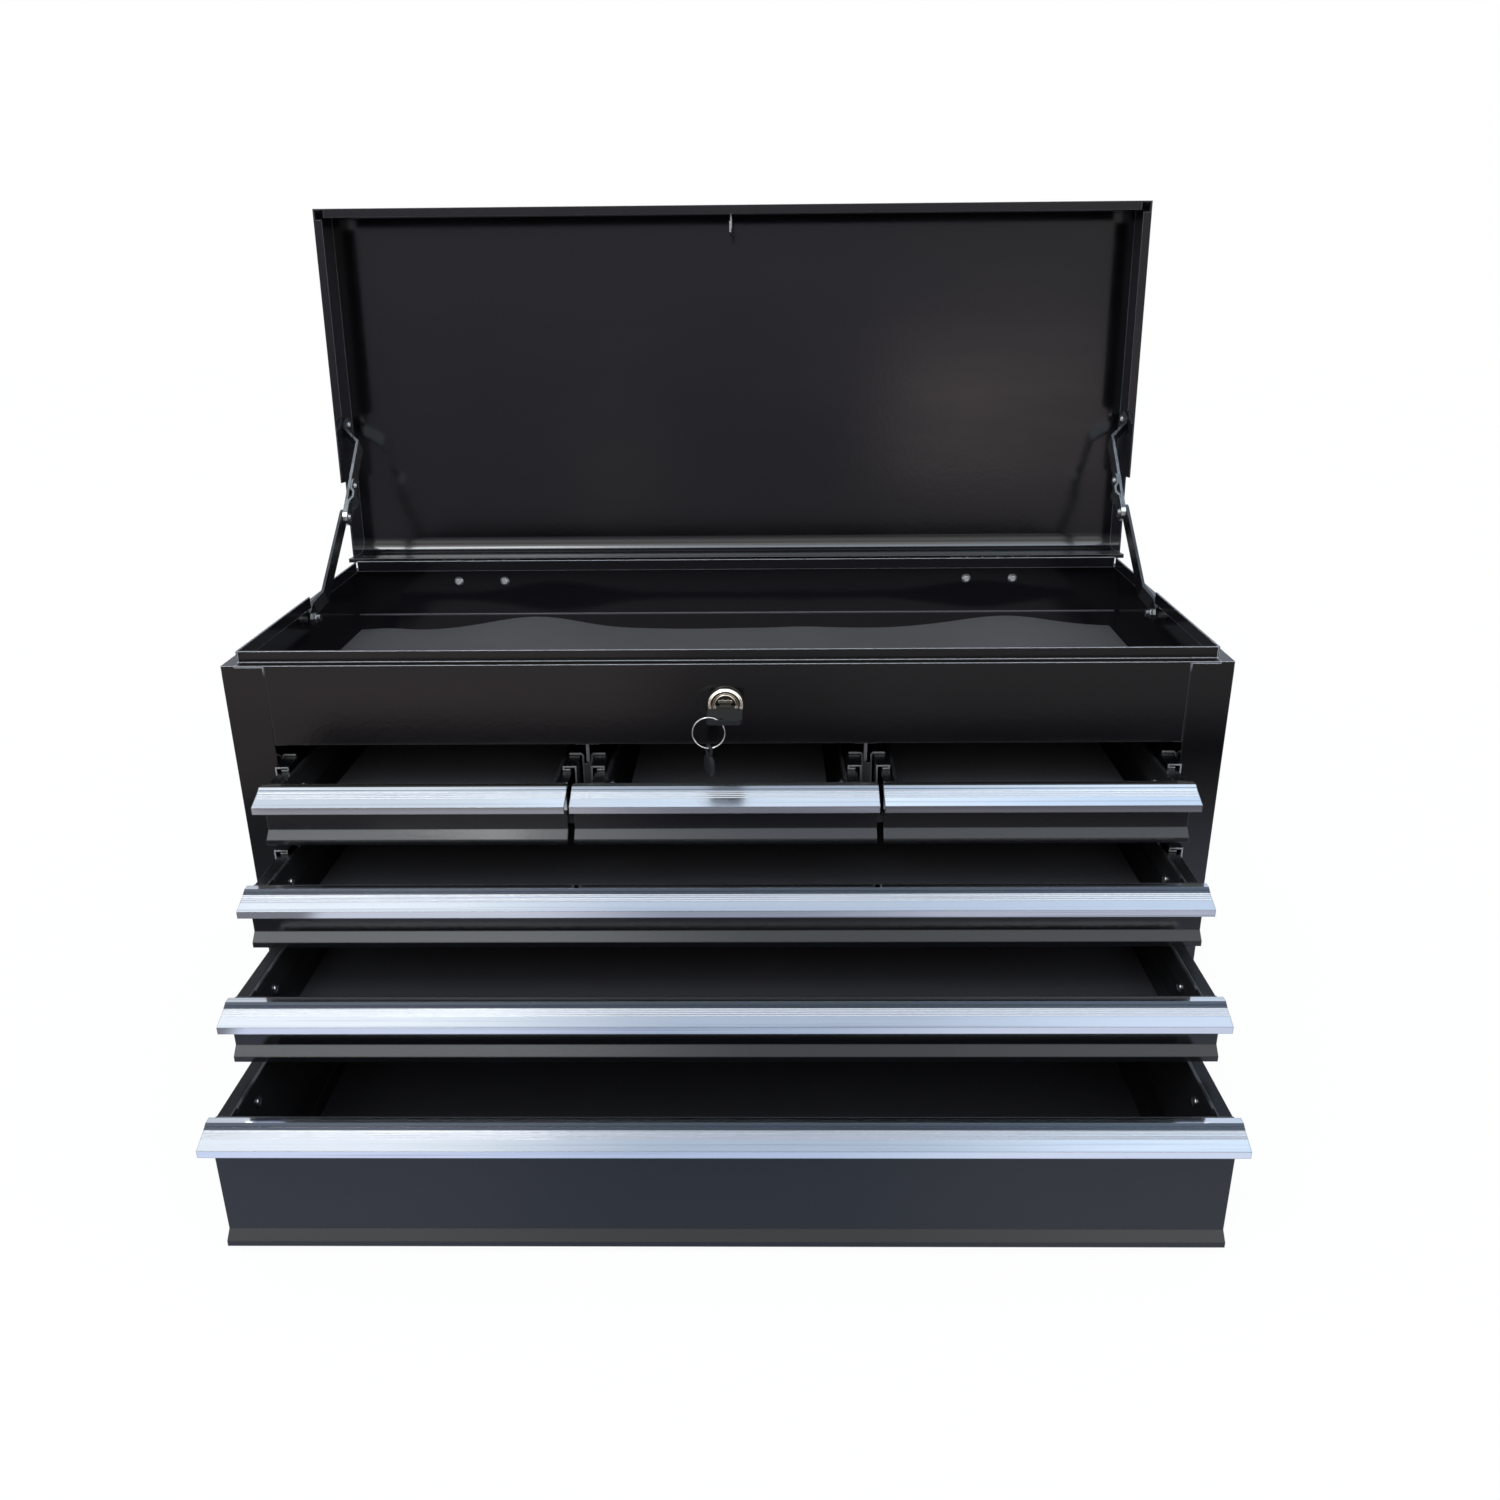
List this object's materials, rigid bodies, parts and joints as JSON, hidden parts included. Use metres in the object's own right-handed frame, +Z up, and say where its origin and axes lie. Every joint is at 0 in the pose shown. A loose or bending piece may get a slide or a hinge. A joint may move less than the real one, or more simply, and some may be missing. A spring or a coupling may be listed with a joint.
{
  "type": "machinist tool chest",
  "caption": "Top chest for hand tools: hinged lid on folding stays over a lined tray, with drawers that run on ball-bearing slides and a cam lock.",
  "frame": {"origin": "centre of the case's footprint, on the surface it stands on", "axes": "+X along the chest's width to the right, +Y to the back, +Z up"},
  "size_m": [0.6654, 0.4967, 0.5525],
  "materials": {
    "black_paint": "gloss enamel",
    "zinc": "zinc-plated steel",
    "aluminium": "satin extrusion",
    "chrome": "polished",
    "foam": "matt foam sheet",
    "black_plastic": "moulded"
  },
  "bodies": {
    "cabinet": {"side_panel_left": "black_paint", "side_panel_right": "black_paint", "back_panel": "black_paint", "base_pan": "black_paint", "lock_rail": "black_paint", "tray_floor": "black_paint", "tray_liner": "foam", "drawer_dividers": "black_paint", "slide_brackets": "black_paint", "side_handles": "chrome", "slide_outers": "zinc", "hinge_leaves_case": "black_paint", "hinge_screws": "zinc", "stay_studs": "zinc", "lock_body": "chrome", "lock_nut": "zinc"},
    "lid": {"lid_pan": "black_paint", "lid_striker": "zinc", "hinge_leaves_lid": "black_paint"},
    "stay_lower_left": {"stay_lower_left": "zinc"},
    "stay_upper_left": {"stay_upper_left": "zinc", "stay_rivets_left": "zinc"},
    "stay_lower_right": {"stay_lower_right": "zinc"},
    "stay_upper_right": {"stay_upper_right": "zinc", "stay_rivets_right": "zinc"},
    "lock": {"lock_plug": "chrome", "lock_cam": "zinc", "key": "black_plastic"},
    "key_ring": {"key_ring": "zinc", "key_tag": "black_plastic"},
    "drawer_small_left": {"drawer_small_left": "black_paint", "pull_small_left": "aluminium", "liner_small_left": "foam", "slide_inner_small_left": "zinc"},
    "slide_middle_small_left": {"slide_middle_small_left": "zinc"},
    "drawer_small_middle": {"drawer_small_middle": "black_paint", "pull_small_middle": "aluminium", "liner_small_middle": "foam", "slide_inner_small_middle": "zinc"},
    "slide_middle_small_middle": {"slide_middle_small_middle": "zinc"},
    "drawer_small_right": {"drawer_small_right": "black_paint", "pull_small_right": "aluminium", "liner_small_right": "foam", "slide_inner_small_right": "zinc"},
    "slide_middle_small_right": {"slide_middle_small_right": "zinc"},
    "drawer_upper": {"drawer_upper": "black_paint", "pull_upper": "aluminium", "liner_upper": "foam", "slide_inner_upper": "zinc"},
    "slide_middle_upper": {"slide_middle_upper": "zinc"},
    "drawer_lower": {"drawer_lower": "black_paint", "pull_lower": "aluminium", "liner_lower": "foam", "slide_inner_lower": "zinc"},
    "slide_middle_lower": {"slide_middle_lower": "zinc"},
    "drawer_deep": {"drawer_deep": "black_paint", "pull_deep": "aluminium", "liner_deep": "foam", "slide_inner_deep": "zinc"},
    "slide_middle_deep": {"slide_middle_deep": "zinc"}
  },
  "joints": [
    {"name": "lid_hinge", "type": "hinge", "parent": "cabinet", "child": "lid", "pos_m": [0, 0.131, 0.293], "axis": [1, 0, 0], "range_deg": [0, 94]},
    {"name": "stay_lower_left", "type": "hinge", "parent": "cabinet", "child": "stay_lower_left", "pos_m": [-0.299, 0.015, 0.2805], "axis": [1, 0, 0], "range_deg": [-37, 1]},
    {"name": "stay_upper_left", "type": "hinge", "parent": "lid", "child": "stay_upper_left", "pos_m": [-0.303, 0.158, 0.3967], "axis": [1, 0, 0], "range_deg": [-1, 26]},
    {"name": "stay_lower_right", "type": "hinge", "parent": "cabinet", "child": "stay_lower_right", "pos_m": [0.299, 0.015, 0.2805], "axis": [1, 0, 0], "range_deg": [-37, 1]},
    {"name": "stay_upper_right", "type": "hinge", "parent": "lid", "child": "stay_upper_right", "pos_m": [0.303, 0.158, 0.3967], "axis": [1, 0, 0], "range_deg": [-1, 26]},
    {"name": "lock_turn", "type": "hinge", "parent": "cabinet", "child": "lock", "pos_m": [0, -0.128, 0.2644], "axis": [0, -1, 0], "range_deg": [0, 90]},
    {"name": "key_ring_swing", "type": "hinge", "parent": "lock", "child": "key_ring", "pos_m": [-0.0093, -0.156, 0.2563], "axis": [0, 1, 0], "range_deg": [-30, 30]},
    {"name": "drawer_small_left_slide", "type": "slide", "parent": "cabinet", "child": "drawer_small_left", "axis": [0, -1, 0], "range_m": [-0.0365, 0.1585]},
    {"name": "slide_middle_small_left", "type": "slide", "parent": "cabinet", "child": "slide_middle_small_left", "axis": [0, -1, 0], "range_m": [-0.01825, 0.07925]},
    {"name": "drawer_small_middle_slide", "type": "slide", "parent": "cabinet", "child": "drawer_small_middle", "axis": [0, -1, 0], "range_m": [-0.0365, 0.1585]},
    {"name": "slide_middle_small_middle", "type": "slide", "parent": "cabinet", "child": "slide_middle_small_middle", "axis": [0, -1, 0], "range_m": [-0.01825, 0.07925]},
    {"name": "drawer_small_right_slide", "type": "slide", "parent": "cabinet", "child": "drawer_small_right", "axis": [0, -1, 0], "range_m": [-0.0365, 0.1585]},
    {"name": "slide_middle_small_right", "type": "slide", "parent": "cabinet", "child": "slide_middle_small_right", "axis": [0, -1, 0], "range_m": [-0.01825, 0.07925]},
    {"name": "drawer_upper_slide", "type": "slide", "parent": "cabinet", "child": "drawer_upper", "axis": [0, -1, 0], "range_m": [-0.0775, 0.1175]},
    {"name": "slide_middle_upper", "type": "slide", "parent": "cabinet", "child": "slide_middle_upper", "axis": [0, -1, 0], "range_m": [-0.03875, 0.05875]},
    {"name": "drawer_lower_slide", "type": "slide", "parent": "cabinet", "child": "drawer_lower", "axis": [0, -1, 0], "range_m": [-0.124, 0.071]},
    {"name": "slide_middle_lower", "type": "slide", "parent": "cabinet", "child": "slide_middle_lower", "axis": [0, -1, 0], "range_m": [-0.062, 0.0355]},
    {"name": "drawer_deep_slide", "type": "slide", "parent": "cabinet", "child": "drawer_deep", "axis": [0, -1, 0], "range_m": [-0.1695, 0.0255]},
    {"name": "slide_middle_deep", "type": "slide", "parent": "cabinet", "child": "slide_middle_deep", "axis": [0, -1, 0], "range_m": [-0.08475, 0.01275]}
  ],
  "couplings": [
    {"joint": "stay_lower_left", "follows": "lid_hinge", "ratio": -0.3801},
    {"joint": "stay_upper_left", "follows": "lid_hinge", "ratio": 0.26111},
    {"joint": "stay_lower_right", "follows": "lid_hinge", "ratio": -0.3801},
    {"joint": "stay_upper_right", "follows": "lid_hinge", "ratio": 0.26111},
    {"joint": "slide_middle_small_left", "follows": "drawer_small_left_slide", "ratio": 0.5},
    {"joint": "slide_middle_small_middle", "follows": "drawer_small_middle_slide", "ratio": 0.5},
    {"joint": "slide_middle_small_right", "follows": "drawer_small_right_slide", "ratio": 0.5},
    {"joint": "slide_middle_upper", "follows": "drawer_upper_slide", "ratio": 0.5},
    {"joint": "slide_middle_lower", "follows": "drawer_lower_slide", "ratio": 0.5},
    {"joint": "slide_middle_deep", "follows": "drawer_deep_slide", "ratio": 0.5}
  ]
}
